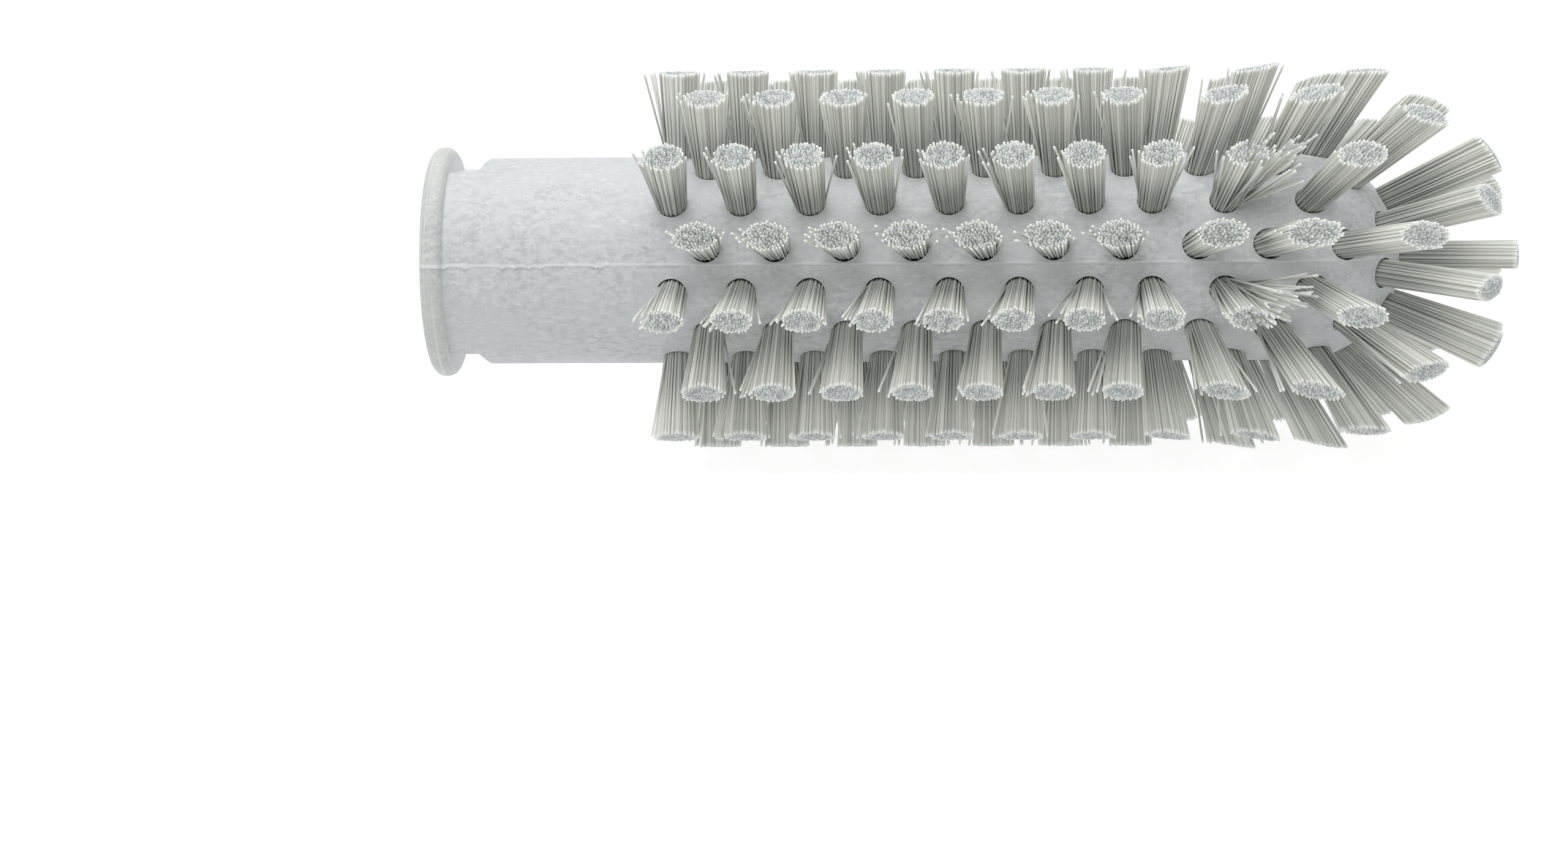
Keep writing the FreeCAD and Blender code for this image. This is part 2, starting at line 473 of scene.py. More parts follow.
def islands(mesh: bpy.types.Mesh) -> list[np.ndarray]:
    """Split a mesh of loose triangles into its separate pieces.

    Args:
        mesh: A CAD node's mesh, which is only read.

    Returns:
        The distinct corner points of each piece.
    """
    points = np.array([vertex.co for vertex in mesh.vertices])
    keys = {}
    merged = [keys.setdefault(tuple(np.round(point, SAME_PLACE_DECIMALS)), len(keys)) for point in points]
    owner = list(range(len(keys)))

    def find(item: int) -> int:
        """Return the point that stands for the piece which a point belongs to."""
        while owner[item] != item:
            owner[item] = owner[owner[item]]
            item = owner[item]
        return item

    for polygon in mesh.polygons:
        first, *others = [merged[index] for index in polygon.vertices]
        for other in others:
            owner[find(other)] = find(first)
    groups: dict[int, list[tuple[float, ...]]] = {}
    for key, index in keys.items():
        groups.setdefault(find(index), []).append(key)
    return [np.array(group) for group in groups.values()]


def read_tufts(node: bpy.types.Object) -> list[Tuft]:
    """Find each tuft of a CAD node from the middles of its two end faces.

    Args:
        node: The CAD node that holds one row of tufts.

    Returns:
        The tufts, from the flange to the nose.
    """
    tufts = []
    for points in islands(node.data):
        middle = points.mean(axis=0)
        direction = np.linalg.svd(points - middle)[2][0]
        above = (points - middle) @ direction > 0
        ends = [points[above].mean(axis=0), points[~above].mean(axis=0)]
        foot, tip = sorted(ends, key=lambda end: math.hypot(end[1], end[2]) + end[0])
        tufts.append(Tuft(Vector(foot), Vector(tip)))
    return sorted(tufts, key=lambda tuft: tuft.foot.x)


def new_object(name: str, mesh: bpy.types.Mesh) -> bpy.types.Object:
    """Link a new object at the origin."""
    obj = bpy.data.objects.new(name, mesh)
    bpy.context.scene.collection.objects.link(obj)
    return obj


def plain_mesh(obj: bpy.types.Object, name: str) -> bpy.types.Mesh:
    """Return an object's mesh with its modifiers worked in, and remove the object.

    Args:
        obj: The object with live modifiers.
        name: The name of the new mesh.

    Returns:
        The plain mesh.
    """
    evaluated = obj.evaluated_get(bpy.context.evaluated_depsgraph_get())
    mesh = bpy.data.meshes.new_from_object(evaluated)
    mesh.name = name
    bpy.data.objects.remove(obj)
    return mesh


def closed_mesh(shape: bmesh.types.BMesh, name: str) -> bpy.types.Mesh:
    """Return a closed shape as a mesh whose faces point outwards, and free the shape."""
    bmesh.ops.recalc_face_normals(shape, faces=shape.faces)
    mesh = bpy.data.meshes.new(name)
    shape.to_mesh(mesh)
    shape.free()
    return mesh


@dataclass
class BrushBody:
    """The moulded body: shank, flange, round nose, flats, threaded socket, mould flash and tuft holes."""

    node: str = "brush_body"
    radius: float = 19.05 * MM
    flange_radius: float = 21.2 * MM
    flange_thickness: float = 4.1 * MM
    flange_rounding: float = 1.9 * MM
    rounding_steps: int = 7
    flange_mismatch: float = 0.12 * MM
    corner_fillet: float = 0.15 * MM
    fillet_steps: int = 4
    ring_spacing: float = 2.0 * MM
    shank_end: float = 42.0 * MM
    shank_spacing: float = 0.5 * MM
    nose_rings: int = 26
    column_count: int = 168
    hole_radius: float = 2.8 * MM
    hole_sides: int = 28
    hole_floor_below_foot: float = 1.6 * MM
    hole_reach: float = 9.0 * MM
    wave_length: float = 14.0 * MM
    waves_round: float = 2.2
    wave_height: float = 0.05 * MM
    wave_full_radius: float = 8.0 * MM
    parting_azimuth: float = 16.0
    seam_clearance: float = 0.9 * MM
    flash_profile: tuple[Span, ...] = (
        (-0.62, 0.0), (-0.3, 0.1), (-0.16, 0.85), (0.06, 1.0), (0.22, 0.9), (0.34, 0.2), (0.55, 0.0),
    )
    flash_height: float = 0.17 * MM
    flash_shares: Triple = (0.95, 0.55, 0.6)
    least_flash: float = 0.25
    drift_length: float = 9.0 * MM
    fray_length: float = 1.3 * MM
    burrs: tuple[Span, ...] = (
        (4.3, 0.6), (8.4, 0.8), (15.2, 0.7), (17.6, 0.5), (20.1, 0.9), (22.4, 0.5), (32.6, 0.5), (33.6, 0.35),
    )
    burr_height: float = 0.12 * MM
    burr_droop: float = 0.5 * MM
    flat_from_axis: float = 16.7 * MM
    flat_length: float = 4.9 * MM
    flat_runout: float = 2.2 * MM
    runout_steps: int = 12
    flat_cut_margin: float = 0.3 * MM
    flat_flange_gap: float = 0.02 * MM
    socket_crest: float = 7.3 * MM
    socket_depth: float = 36.0 * MM
    socket_point: float = 3.0 * MM
    thread_pitch: float = 5.08 * MM
    thread_depth: float = 1.9 * MM
    thread_half_root: float = 0.13
    thread_flank: float = 0.12
    thread_lead_in: float = 0.35
    thread_steps: int = 9
    smooth_angle: float = 38.0
    length: float = field(init=False)

    def __post_init__(self) -> None:
        """Take the length from the frame."""
        self.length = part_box(self.node)[1].x

    def build(self, tufts: Iterable[Tuft], material: bpy.types.Material) -> bpy.types.Object:
        """Make the body.

        Args:
            tufts: Every tuft that needs a hole.
            material: The plastic.

        Returns:
            The finished body, which stands for its CAD node.
        """
        blank = new_object("body_blank", self._blank())
        cutters = new_object("body_cutters", self._cutters(tufts))
        cut = blank.modifiers.new("holes", "BOOLEAN")
        cut.operation, cut.solver, cut.object = "DIFFERENCE", "EXACT", cutters
        mesh = plain_mesh(blank, "body")
        bpy.data.objects.remove(cutters)
        mesh.materials.clear()
        mesh.materials.append(material)
        mesh.shade_smooth()
        mesh.set_sharp_from_angle(angle=math.radians(self.smooth_angle))
        body = new_object("body", mesh)
        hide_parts(self.node)
        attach(body, ROOT)
        return body

    def _columns(self) -> list[Span]:
        """Return the azimuth of each column of the surface, and how much flash it carries."""
        seam = [
            (self.parting_azimuth + half + math.degrees(offset * MM / self.radius), share)
            for half in (0.0, 180.0)
            for offset, share in self.flash_profile
        ]
        step = 360.0 / self.column_count
        clear = math.degrees(self.seam_clearance / self.radius)
        plain = [
            (index * step, 0.0)
            for index in range(self.column_count)
            if abs((index * step - self.parting_azimuth + 90) % 180 - 90) > clear
        ]
        return sorted((azimuth % 360.0, share) for azimuth, share in seam + plain)

    def _outline(self) -> list[Span]:
        """Return the outer profile from nose to mouth, as X and radius."""
        centre = self.length - self.radius
        rings = []
        for index in range(1, self.nose_rings):
            latitude = math.pi / 2 * (1 - index / self.nose_rings)
            rings.append((centre + self.radius * math.sin(latitude), self.radius * math.cos(latitude)))
        start = self.flange_thickness + self.corner_fillet
        for high, low, spacing in (
            (centre, self.shank_end, self.ring_spacing),
            (self.shank_end, start, self.shank_spacing),
        ):
            count = round((high - low) / spacing)
            rings += [(high + (low - high) * index / count, self.radius) for index in range(count)]
        fillet, rounding = self.corner_fillet, self.flange_rounding
        rings += self._arc(start, self.radius + fillet, fillet, (-90, -180), self.fillet_steps)
        inner = self.flange_radius - rounding
        rings += self._arc(self.flange_thickness - rounding, inner, rounding, (0, 90), self.rounding_steps)
        rings += self._arc(rounding, inner, rounding, (90, 180), self.rounding_steps)
        return rings

    @staticmethod
    def _arc(x: float, radius: float, size: float, angles: Span, steps: int) -> list[Span]:
        """Return the points of an arc in the profile, given its centre, size and angles in degrees."""
        start, end = angles
        turns = [math.radians(start + (end - start) * index / steps) for index in range(steps + 1)]
        return [(x + size * math.cos(turn), radius + size * math.sin(turn)) for turn in turns]

    def _flash(self, x: float, side: int) -> float:
        """Return how high the mould flash stands at a place along one of the two seams."""
        drift = noise.noise(Vector((x / self.drift_length, side * 7.3, 0.0)))
        fray = noise.noise(Vector((x / self.fray_length, side * 3.1, 5.0)))
        even_share, drift_share, fray_share = self.flash_shares
        level = max(self.least_flash, even_share + drift_share * drift + fray_share * fray)
        return self.flash_height * level + self.burr_height * self._burr(x, side)

    def _burr(self, x: float, side: int) -> float:
        """Return how much of a burr the flash has at a place, on the seam that faces the viewer."""
        return 0.0 if side else sum(math.exp(-(((x / MM - place) / half) ** 2)) for place, half in self.burrs)

    def _surface_point(self, ring: Span, column: Span) -> Vector:
        """Return a point of the outer surface, with its flash and the slight waviness of the moulding."""
        x, radius = ring
        azimuth, flash = column
        side = 0 if abs((azimuth - self.parting_azimuth + 180) % 360 - 180) < 90 else 1
        radius += flash * self._flash(x, side)
        if flash and radius > self.radius:
            azimuth -= math.degrees(flash * self.burr_droop * self._burr(x, side) / radius)
        direction = outward(azimuth)
        round_y, round_z = direction.y * self.waves_round, direction.z * self.waves_round
        wave = noise.noise(Vector((x / self.wave_length, round_y, round_z)))
        radius += self.wave_height * wave * min(1.0, radius / self.wave_full_radius)
        lower_half = (azimuth - self.parting_azimuth) % 360.0 > 180.0
        if lower_half and x < self.flange_thickness:
            radius += self.flange_mismatch * min(1.0, max(0.0, (radius - self.radius) / MM))
        return Vector((x, 0, 0)) + direction * radius

    def _thread_radius(self, x: float, azimuth: float) -> float:
        """Return the radius of the socket's trapezoidal thread, which fades out at both its ends."""
        phase = (x / self.thread_pitch + azimuth / 360.0) % 1.0
        flank = min(max((abs(phase - 0.5) - self.thread_half_root) / self.thread_flank, 0.0), 1.0)
        run_in = x / (self.thread_lead_in * self.thread_pitch)
        fade = min(1.0, run_in, max(0.0, (self.socket_depth - x) / self.thread_pitch))
        return self.socket_crest + self.thread_depth * (1 - flank) * fade

    def _blank(self) -> bpy.types.Mesh:
        """Return the closed body before its holes and flats are cut."""
        columns = self._columns()
        shape = bmesh.new()
        layer = shape.verts.layers.float.new("flash")
        tip = shape.verts.new((self.length, 0, 0))
        rings = []
        for ring in self._outline():
            verts = [shape.verts.new(self._surface_point(ring, column)) for column in columns]
            for vert, column in zip(verts, columns):
                vert[layer] = column[1]
            rings.append(verts)
        thread_rings = math.ceil(self.socket_depth / self.thread_pitch * self.thread_steps)
        for index in range(thread_rings + 1):
            x = self.socket_depth * index / thread_rings
            rings.append([
                shape.verts.new(Vector((x, 0, 0)) + outward(azimuth) * self._thread_radius(x, azimuth))
                for azimuth, _ in columns
            ])
        bottom = shape.verts.new((self.socket_depth + self.socket_point, 0, 0))
        count = len(columns)
        for lower, upper in zip(rings, rings[1:]):
            for this in range(count):
                after = (this + 1) % count
                shape.faces.new((lower[this], upper[this], upper[after], lower[after]))
        for this in range(count):
            after = (this + 1) % count
            shape.faces.new((tip, rings[0][this], rings[0][after]))
            shape.faces.new((bottom, rings[-1][after], rings[-1][this]))
        return closed_mesh(shape, "body_blank")

    def _cutters(self, tufts: Iterable[Tuft]) -> bpy.types.Mesh:
        """Return the tools for the holes and the two flats as one mesh."""
        shape = bmesh.new()
        for tuft in tufts:
            ends = [
                [
                    shape.verts.new(
                        tuft.foot
                        + tuft.axis * height
                        + tuft.along * (self.hole_radius * math.cos(turn))
                        + tuft.across * (self.hole_radius * math.sin(turn))
                    )
                    for turn in (2 * math.pi * side / self.hole_sides for side in range(self.hole_sides))
                ]
                for height in (-self.hole_floor_below_foot, self.hole_reach)
            ]
            self._close(shape, *ends)
        for half in (0.0, 180.0):
            turn = Matrix.Rotation(math.radians(half - self.parting_azimuth), 4, "X")
            ends = [
                [shape.verts.new(turn @ Vector((x, y, z))) for x, z in self._flat_profile()]
                for y in (-2 * self.radius, 2 * self.radius)
            ]
            self._close(shape, *ends)
        return closed_mesh(shape, "body_cutters")

    def _flat_profile(self) -> list[Span]:
        """Return the outline of the tool for a flat, with a run-out that rises as a smooth S."""
        rise = self.radius - self.flat_from_axis + self.flat_cut_margin
        start = self.flange_thickness + self.flat_length
        slope = [
            (start + self.flat_runout * share, self.flat_from_axis + rise * (3 - 2 * share) * share**2)
            for share in (index / self.runout_steps for index in range(self.runout_steps + 1))
        ]
        clear = 2 * self.flange_radius
        low = self.flange_thickness + self.flat_flange_gap
        return [*slope, (slope[-1][0], clear), (low, clear), (low, self.flat_from_axis)]

    @staticmethod
    def _close(
        shape: bmesh.types.BMesh, lower: list[bmesh.types.BMVert], upper: list[bmesh.types.BMVert]
    ) -> None:
        """Close the solid between two matching outlines."""
        shape.faces.new(lower)
        shape.faces.new(upper)
        for this in range(len(lower)):
            after = (this + 1) % len(lower)
            shape.faces.new((lower[this], lower[after], upper[after], upper[this]))


@dataclass
class Tufts:
    """The bristle tufts: every row's filaments, grown from the tufts of the frame."""

    filaments_per_tuft: int = 144
    filament_sides: int = 5
    filament_diameter: float = 0.41 * MM
    end_swell: float = 0.16
    bundle_radius: float = 2.38 * MM
    spread_jitter: float = 0.04 * MM
    flare_along: float = 0.63
    flare_across: float = -0.07
    flare_upwards: float = 0.38
    tip_scatter: float = 0.1 * MM
    stray_share: float = 0.55
    stray_fade: float = 1.2
    stray_lean: float = 2.8 * MM
    splay_lean: float = 11.0 * MM
    trim_jitter: float = 0.2 * MM
    mouth_height: float = 5.4 * MM
    sweep_radius: float = 34.925 * MM
    sweep_nose: float = 36.0 * MM
    sweep_power: float = 2.2
    sweep_centre: float = 163.95 * MM
    splayed: dict[str, int] = field(default_factory=lambda: {"tuft_row_03": 8, "tuft_row_01": 8})
    fanned_rows: tuple[str, ...] = ("tuft_row_02",)
    fan: float = 1.25

    def _sizes(self) -> dict[str, float]:
        """Return the sizes that the geometry tree takes, by the names of its inputs."""
        return {
            "Filament Diameter": self.filament_diameter,
            "Bundle Radius": self.bundle_radius,
            "Spread Jitter": self.spread_jitter,
            "Flare": self.flare_along,
            "Tip Scatter": self.tip_scatter,
            "Stray Lean": self.stray_lean,
            "Splay Lean": self.splay_lean,
            "Trim Jitter": self.trim_jitter,
            "Mouth Height": self.mouth_height,
            "Sweep Radius": self.sweep_radius,
            "Sweep Nose": self.sweep_nose,
            "Sweep Power": self.sweep_power,
            "Sweep Centre": self.sweep_centre,
        }

    def build(
        self, node: bpy.types.Object, seed: int, tree: bpy.types.NodeTree, material: bpy.types.Material
    ) -> bpy.types.Object:
        """Grow the filaments of one CAD node.

        Args:
            node: The CAD node, which the new piece stands for.
            seed: The seed of everything random in this row.
            tree: The geometry tree that grows filaments on points.
            material: The filament's material.

        Returns:
            The finished row.
        """
        tufts = read_tufts(node)
        points = bpy.data.meshes.new(node.name + "_points")
        points.from_pydata([tuft.foot for tuft in tufts], [], [])
        spreads = [self.fan if node.name in self.fanned_rows else 1.0] * len(tufts)
        splays = [1.0 if self.splayed.get(node.name) == index else 0.0 for index in range(len(tufts))]
        widths = [self.flare_across + self.flare_upwards * max(0.0, tuft.axis.z) for tuft in tufts]
        strays = [self.stray_share * max(0.0, 1 - self.stray_fade * tuft.axis.x) for tuft in tufts]
        for label, kind, values in (
            ("tuft_axis", "FLOAT_VECTOR", [tuft.axis for tuft in tufts]),
            ("tuft_along", "FLOAT_VECTOR", [tuft.along for tuft in tufts]),
            ("tuft_length", "FLOAT", [(tuft.tip - tuft.foot).length for tuft in tufts]),
            ("tuft_spread", "FLOAT", spreads),
            ("tuft_splay", "FLOAT", splays),
            ("tuft_width", "FLOAT", widths),
            ("tuft_strays", "FLOAT", strays),
        ):
            attribute = points.attributes.new(label, kind, "POINT")
            content = "vector" if kind == "FLOAT_VECTOR" else "value"
            attribute.data.foreach_set(content, np.array(values, np.float32).ravel())
        carrier = new_object("carrier", points)
        grow = carrier.modifiers.new("bristles", "NODES")
        grow.node_group = tree
        given = {**self._sizes(), "Filaments": self.filaments_per_tuft, "Seed": seed, "Material": material}
        for item in tree.interface.items_tree:
            if item.name in given:
                grow[item.identifier] = given[item.name]
        row = new_object(node.name.replace("tuft", "bristle"), plain_mesh(carrier, node.name + "_filaments"))
        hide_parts(node.name)
        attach(row, ROOT)
        return row

    def tree(self) -> bpy.types.NodeTree:
        """Build the geometry tree that grows a bundle of filaments on each point.

        Returns:
            The tree.
        """
        nodes = new_group(
            "bristles",
            "GeometryNodeTree",
            {
                "Geometry": ("NodeSocketGeometry", None),
                "Filaments": ("NodeSocketInt", self.filaments_per_tuft),
                **{label: ("NodeSocketFloat", size) for label, size in self._sizes().items()},
                "Seed": ("NodeSocketInt", 0),
                "Material": ("NodeSocketMaterial", None),
            },
            {"Geometry": "NodeSocketGeometry"},
        )
        given = nodes.add("NodeGroupInput").outputs
        copies = nodes.add(
            "GeometryNodeDuplicateElements",
            {"Geometry": given["Geometry"], "Amount": given["Filaments"]},
            domain="POINT",
        )

        def named(label: str, kind: str) -> Socket:
            """Return a value that was stored under a name."""
            node = nodes.add("GeometryNodeInputNamedAttribute", {"Name": label}, data_type=kind)
            return node.outputs["Attribute"]

        def chance(offset: int, low: object = 0.0, high: object = 1.0) -> Socket:
            """Return a random number, from the number of its draw and its limits."""
            seed = nodes.math("ADD", nodes.times(given["Seed"], 17.0), float(offset))
            node = nodes.add("FunctionNodeRandomValue", {2: low, 3: high, "Seed": seed}, data_type="FLOAT")
            return node.outputs[1]

        axis, along = (named("tuft_" + label, "FLOAT_VECTOR") for label in ("axis", "along"))
        length, spread, splay, width, strays = (
            named("tuft_" + label, "FLOAT") for label in ("length", "spread", "splay", "width", "strays")
        )
        across = nodes.vector("CROSS_PRODUCT", axis, along)

        def in_plane(first: object, second: object) -> Socket:
            """Return the vector square to the tuft with two given parts."""
            return nodes.vector("ADD", nodes.scale(along, first), nodes.scale(across, second))

        # Place of each filament in the bundle, on a spiral that fills the disc evenly
        index = copies.outputs["Duplicate Index"]
        share = nodes.math("DIVIDE", nodes.math("ADD", index, 0.5), given["Filaments"])
        reach = nodes.times(nodes.math("SQRT", share), given["Bundle Radius"])
        turn = nodes.times(index, GOLDEN_ANGLE)
        jitter = [nodes.times(chance(offset, -1.0), given["Spread Jitter"]) for offset in (1, 2)]
        spiral = [nodes.times(reach, nodes.math(side, turn)) for side in ("COSINE", "SINE")]
        place = nodes.vector("ADD", in_plane(*spiral), in_plane(*jitter))
        # Where its end leans: outwards with the flare, mostly along the brush, and a little at random
        flares = [nodes.times(given["Flare"], spread), width]
        flared = in_plane(*[nodes.times(part, flare) for part, flare in zip(spiral, flares)])
        scatter = nodes.times(given["Tip Scatter"], spread)
        wander = in_plane(*[nodes.times(chance(offset, -1.0), scatter) for offset in (3, 4)])
        lean = nodes.vector("ADD", flared, wander)
        direction = nodes.vector("NORMALIZE", nodes.vector("ADD", nodes.scale(axis, length), lean))
        start = nodes.vector("ADD", nodes.add("GeometryNodeInputPosition").outputs[0], place)
        reached = nodes.math("DIVIDE", length, nodes.measure("DOT_PRODUCT", direction, axis))
        for _ in range(TRIM_ROUNDS):
            reached = self._trim(nodes, given, start, direction, reached)
        reached = nodes.math("SUBTRACT", reached, nodes.times(chance(8), given["Trim Jitter"]))
        filament = (axis, along, across, length, place, share, strays, splay)
        lead = self._lead_astray(nodes, given, chance, filament)

        geometry = nodes.add(
            "GeometryNodeSetPosition", {"Geometry": copies.outputs["Geometry"], "Position": start}
        ).outputs[0]
        for label, kind, value in (
            ("lead", "FLOAT_VECTOR", lead),
            ("tint", "FLOAT", chance(11)),
            ("rim", "FLOAT", share),
            ("filament_direction", "FLOAT_VECTOR", direction),
            ("filament_length", "FLOAT", reached),
        ):
            geometry = self._store(nodes, geometry, label, kind, value)
        upright = {"Vector": named("filament_direction", "FLOAT_VECTOR")}
        rotation = nodes.add("FunctionNodeAlignRotationToVector", upright, axis="Z").outputs[0]
        thickness = nodes.times(given["Filament Diameter"], 0.5)
        size = nodes.add(
            "ShaderNodeCombineXYZ", {0: thickness, 1: thickness, 2: named("filament_length", "FLOAT")}
        ).outputs[0]
        instances = nodes.add(
            "GeometryNodeInstanceOnPoints",
            {"Points": geometry, "Instance": self._filament(nodes), "Rotation": rotation, "Scale": size},
        ).outputs[0]
        realised = nodes.add("GeometryNodeRealizeInstances", {"Geometry": instances}).outputs[0]
        # Strays lean from the mouth of their hole, so the part inside it stays in the bundle
        mouth = nodes.math("DIVIDE", given["Mouth Height"], named("filament_length", "FLOAT"))
        above = nodes.math("SUBTRACT", named("height", "FLOAT"), mouth)
        free = nodes.math("DIVIDE", above, nodes.math("SUBTRACT", 1.0, mouth), clamp=True)
        offset = nodes.scale(named("lead", "FLOAT_VECTOR"), free)
        led = nodes.add("GeometryNodeSetPosition", {"Geometry": realised, "Offset": offset}).outputs[0]
        smooth = nodes.add("GeometryNodeSetShadeSmooth", {"Geometry": led}).outputs[0]
        finished = nodes.add("GeometryNodeSetMaterial", {"Geometry": smooth, "Material": given["Material"]})
        nodes.add("NodeGroupOutput", {"Geometry": finished.outputs[0]})
        return nodes.tree

    @staticmethod
    def _trim(
        nodes: Nodes, given: bpy.types.NodeOutputs, start: object, direction: object, reached: object
    ) -> Socket:
        """Correct a filament's length so that it ends on the sweep, a cylinder with a blunt round nose.

        Args:
            nodes: The tree under construction.
            given: The tree's inputs.
            start: The filament's foot.
            direction: The filament's direction, of length one.
            reached: The filament's length so far.

        Returns:
            A closer length.
        """
        end_place = nodes.vector("ADD", start, nodes.scale(direction, reached))
        end = nodes.add("ShaderNodeSeparateXYZ", {0: end_place})
        ahead = nodes.math("MAXIMUM", nodes.math("SUBTRACT", end.outputs[0], given["Sweep Centre"]), 0.0)
        sideways = nodes.add("ShaderNodeCombineXYZ", {1: end.outputs[1], 2: end.outputs[2]}).outputs[0]
        radial = nodes.vector("ADD", nodes.add("ShaderNodeCombineXYZ", {0: ahead}).outputs[0], sideways)
        shares = [
            nodes.math("POWER", nodes.math("DIVIDE", size, given[limit]), given["Sweep Power"])
            for size, limit in ((ahead, "Sweep Nose"), (nodes.measure("LENGTH", sideways), "Sweep Radius"))
        ]
        root = nodes.math("DIVIDE", 1.0, given["Sweep Power"])
        scale = nodes.math("POWER", nodes.math("ADD", *shares), root)
        far = nodes.measure("LENGTH", radial)
        over = nodes.math("SUBTRACT", far, nodes.math("DIVIDE", far, scale))
        facing = nodes.measure("DOT_PRODUCT", nodes.vector("NORMALIZE", radial), direction)
        step = nodes.math("DIVIDE", over, nodes.math("MAXIMUM", facing, LEAST_FACING))
        return nodes.math("SUBTRACT", reached, step)

    @staticmethod
    def _lead_astray(
        nodes: Nodes, given: bpy.types.NodeOutputs, chance: Callable[..., Socket], tuft: tuple[object, ...]
    ) -> Socket:
        """Lead a few filaments outwards, and one side of a splayed tuft towards the nose in clumps.

        Args:
            nodes: The tree under construction.
            given: The tree's inputs.
            chance: Gives a random number, from the number of its seed and its limits.
            tuft: The filament's axis, along and across directions, length, place, share, odds and splay.

        Returns:
            How far the end of each filament moves, along a circle round the mouth of its hole.
        """
        axis, along, across, length, place, share, strays, splay = tuft
        forward = nodes.measure("DOT_PRODUCT", nodes.vector("NORMALIZE", place), along)
        # Strays stand at the edges that face the nose and, twice as often, the flange
        nose_edge, flange_edge = nodes.ramp(forward, 0.8, 1.0), nodes.ramp(forward, -0.55, -0.9)
        edge = nodes.math("ADD", nose_edge, nodes.times(flange_edge, 2.0))
        odds = nodes.times(strays, edge)
        outer = nodes.times(nodes.ramp(share, 0.55, 0.95), 0.5)
        astray = nodes.math("LESS_THAN", chance(5), nodes.times(odds, outer))
        reach = nodes.math("POWER", chance(6, 0.2, 1.0), 1.6)
        reach = nodes.times(nodes.times(astray, given["Stray Lean"]), reach)
        away = nodes.vector("ADD", nodes.scale(along, forward), nodes.scale(across, chance(16, -0.25, 0.25)))
        # A splayed tuft swings most filaments of its nose side, in clumps that stop at even steps
        nose_side = nodes.math("GREATER_THAN", nodes.measure("DOT_PRODUCT", place, along), -0.4 * MM)
        chosen = nodes.times(nodes.math("LESS_THAN", chance(12), 0.7), nose_side)
        clump = nodes.math("SNAP", nodes.math("POWER", chance(13), 1.3), 0.17)
        swing = nodes.times(nodes.math("ADD", clump, chance(14, 0.0, 0.05)), given["Splay Lean"])
        swing = nodes.times(nodes.times(chosen, splay), swing)
        swerve = nodes.times(swing, chance(15, -0.1, 0.7))
        sideways = nodes.vector("ADD", nodes.scale(along, swing), nodes.scale(across, swerve))
        offset = nodes.vector("ADD", nodes.scale(away, reach), sideways)
        free = nodes.math("SUBTRACT", length, given["Mouth Height"])
        far = nodes.measure("LENGTH", offset)
        left = nodes.math("SUBTRACT", nodes.times(free, free), nodes.times(far, far))
        drop = nodes.math("SUBTRACT", free, nodes.math("SQRT", nodes.math("MAXIMUM", left, 0.0)))
        return nodes.vector("SUBTRACT", offset, nodes.scale(axis, drop))

    @staticmethod
    def _store(nodes: Nodes, geometry: object, label: str, kind: str, value: object) -> Socket:
        """Store a value on each point and return the geometry."""
        node = nodes.add(
            "GeometryNodeStoreNamedAttribute",
            {"Geometry": geometry, "Name": label, "Value": value},
            data_type=kind,
            domain="POINT",
        )
        return node.outputs[0]

    def _filament(self, nodes: Nodes) -> Socket:
        """Return one filament of unit size, from 0 to 1 along Z, with a slightly swollen cut end."""
        segments = len(RING_LEVELS) + 1
        shape = {"Vertices": self.filament_sides, "Side Segments": segments, "Radius": 1.0, "Depth": 1.0}
        rod = nodes.add("GeometryNodeMeshCylinder", shape, fill_type="NGON").outputs["Mesh"]
        here = nodes.add("GeometryNodeInputPosition").outputs[0]
        parts = nodes.add("ShaderNodeSeparateXYZ", {0: here}).outputs
        level = nodes.math("ADD", parts[2], 0.5)
        curve = nodes.add("ShaderNodeFloatCurve", {"Value": level})
        points = curve.mapping.curves[0].points
        points[0].location, points[1].location = (0.0, 0.0), (1.0, 1.0)
        for even_level, ring_level in RING_LEVELS:
            points.new(even_level, ring_level)
        for point in points:
            point.handle_type = "VECTOR"
        curve.mapping.update()
        height = curve.outputs[0]
        swell = nodes.math("ADD", 1.0, nodes.times(nodes.ramp(height, 0.9, 1.0), self.end_swell))
        wide, deep = (nodes.times(part, swell) for part in (parts[0], parts[1]))
        moved = nodes.add("ShaderNodeCombineXYZ", {0: wide, 1: deep, 2: height}).outputs[0]
        shaped = nodes.add("GeometryNodeSetPosition", {"Geometry": rod, "Position": moved}).outputs[0]
        now = nodes.add("GeometryNodeInputPosition").outputs[0]
        reach = nodes.add("ShaderNodeSeparateXYZ", {0: now}).outputs[2]
        return self._store(nodes, shaped, "height", "FLOAT", reach)


@dataclass(frozen=True)
class SoftLight:
    """A square lamp that faces the brush."""

    name: str
    place: Triple
    size: float
    power: float
    colour: Triple = (1.0, 1.0, 1.0)

    def build(self, target: Vector) -> None:
        """Hang the lamp so that it faces a target."""
        lamp = bpy.data.lights.new(self.name, "AREA")
        lamp.shape, lamp.size, lamp.energy, lamp.color = "SQUARE", self.size, self.power, self.colour
        obj = bpy.data.objects.new(self.name, lamp)
        obj.location = self.place
        obj.rotation_euler = (target - Vector(self.place)).to_track_quat("-Z", "Y").to_euler()
        bpy.context.scene.collection.objects.link(obj)


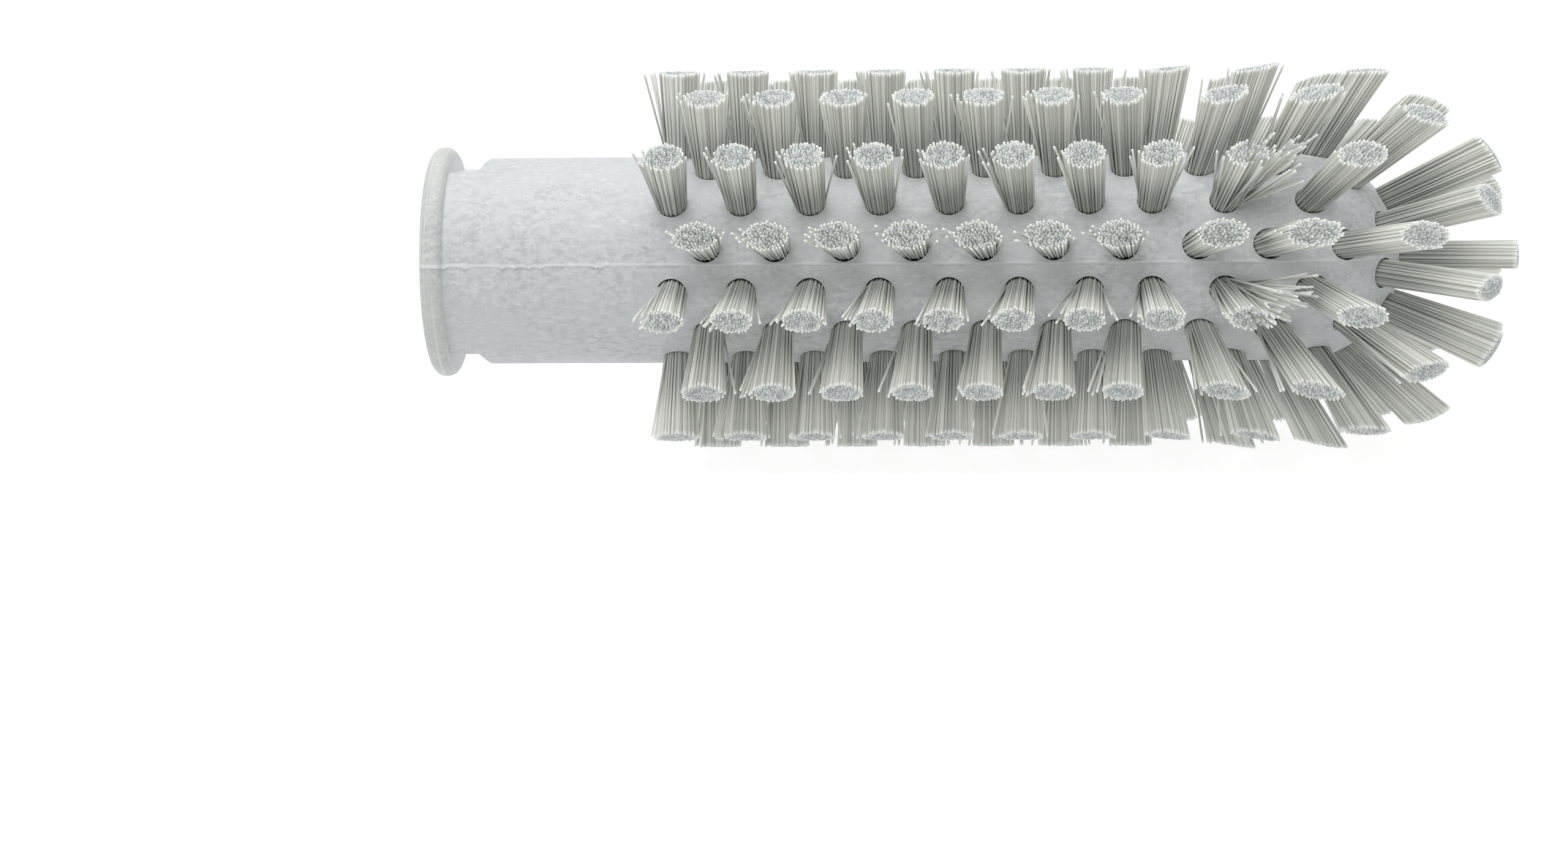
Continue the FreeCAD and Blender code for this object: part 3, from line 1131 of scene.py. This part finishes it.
@dataclass
class Studio:
    """A white room with soft light from above, a pale floor and the camera at the photograph's angle."""

    camera_place: Triple = (0.192911, -1.135721, 0.388152)
    camera_right: Triple = (0.99434926, 0.0981474, -0.04045533)
    camera_up: Triple = (0.00371332, 0.34869551, 0.93722871)
    lens: float = 149.985
    sensor_width: float = 36.0
    floor_half_size: float = 6.0
    floor_colour: Colour = (0.34, 0.34, 0.34, 1.0)
    floor_glow: float = 0.85
    floor_bounce: float = 0.46
    ambient: float = 0.5
    target: Triple = (0.09, 0.0, 0.0)
    lamps: tuple[SoftLight, ...] = (
        SoftLight("key_lamp", (-0.15, -0.5, 1.25), 1.1, 7.6),
        SoftLight("top_lamp", (0.25, 0.4, 1.35), 1.3, 6.2),
    )

    def build(self, floor_height: float) -> None:
        """Make the camera, floor, lamps and world.

        Args:
            floor_height: Z of the floor.
        """
        self._camera()
        self._floor(floor_height)
        for lamp in self.lamps:
            lamp.build(Vector(self.target))
        self._world()
        bpy.context.scene.view_settings.view_transform = "Standard"

    def _camera(self) -> None:
        """Set up the camera."""
        camera = bpy.data.objects.new("camera", bpy.data.cameras.new("camera"))
        camera.data.lens, camera.data.sensor_width = self.lens, self.sensor_width
        camera.data.clip_start, camera.data.clip_end = 0.05, 50.0
        right, up = Vector(self.camera_right), Vector(self.camera_up)
        turn = Matrix((right, up, right.cross(up))).transposed()
        camera.matrix_world = Matrix.Translation(self.camera_place) @ turn.to_4x4()
        bpy.context.scene.collection.objects.link(camera)
        bpy.context.scene.camera = camera

    def _floor(self, height: float) -> None:
        """Lay the floor, whose lit surface reads as white to the camera."""
        half = self.floor_half_size
        mesh = bpy.data.meshes.new("floor")
        corners = [(-half, -half), (half, -half), (half, half), (-half, half)]
        mesh.from_pydata([(x, y, height) for x, y in corners], [], [(0, 1, 2, 3)])
        floor = new_object("floor", mesh)
        material = bpy.data.materials.new("floor")
        nodes = empty_nodes(material)
        lit = nodes.add("ShaderNodeBsdfDiffuse", {"Color": self.floor_colour}).outputs[0]
        strength = self._strength(nodes, self.floor_bounce, self.floor_glow)
        glow = nodes.add("ShaderNodeEmission", {"Strength": strength}).outputs[0]
        both = nodes.add("ShaderNodeAddShader", {0: lit, 1: glow}).outputs[0]
        nodes.add("ShaderNodeOutputMaterial", {"Surface": both})
        floor.data.materials.append(material)
        floor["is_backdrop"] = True

    @staticmethod
    def _strength(nodes: Nodes, lighting: float, shown: float) -> Socket:
        """Return a strength with one value for rays that light things and one for rays that show it."""
        path = nodes.add("ShaderNodeLightPath").outputs
        seen = nodes.math("MAXIMUM", path["Is Camera Ray"], path["Is Glossy Ray"])
        seen = nodes.math("MAXIMUM", seen, path["Is Transmission Ray"])
        return nodes.add("ShaderNodeMix", {0: seen, 2: lighting, 3: shown}, data_type="FLOAT").outputs[0]

    def _world(self) -> None:
        """Make the room white to the eye and a soft even light to everything else."""
        world = bpy.data.worlds.new("white_room")
        bpy.context.scene.world = world
        nodes = empty_nodes(world)
        light = {"Color": (1.0, 1.0, 1.0, 1.0), "Strength": self._strength(nodes, self.ambient, 1.0)}
        white = nodes.add("ShaderNodeBackground", light).outputs[0]
        nodes.add("ShaderNodeOutputWorld", {"Surface": white})


def dress_anchors(nodes: dict[str, bpy.types.Object], material: bpy.types.Material) -> None:
    """Give the anchors of the frame their metal.

    Args:
        nodes: The CAD nodes by name.
        material: The wire's material.
    """
    for name, node in nodes.items():
        if "anchor" in name:
            node.data.materials.clear()
            node.data.materials.append(material)
            log.info("%s dressed", name)


def main() -> None:
    """Build the brush round its frame, and the studio round the brush."""
    logging.basicConfig(level=logging.INFO, format="%(name)s: %(message)s")
    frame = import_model()
    cad_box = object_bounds()
    streaks = streak_group()
    tuft_nodes = [node for name, node in sorted(frame["nodes"].items()) if "tuft" in name]
    places = [tuft for node in tuft_nodes for tuft in read_tufts(node)]
    body = BrushBody().build(places, MouldedPlastic().build(streaks))
    log.info("%s: %d faces", body.name, len(body.data.polygons))
    tufts, filament = Tufts(), Filament().build()
    tree = tufts.tree()
    for seed, node in enumerate(tuft_nodes, start=1):
        row = tufts.build(node, seed, tree, filament)
        log.info("%s: %d faces", row.name, len(row.data.polygons))
    dress_anchors(frame["nodes"], AnchorWire().build(streaks))
    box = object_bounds()
    Studio().build(min(cad_box[0].z, box[0].z))


if __name__ == "__main__":
    main()
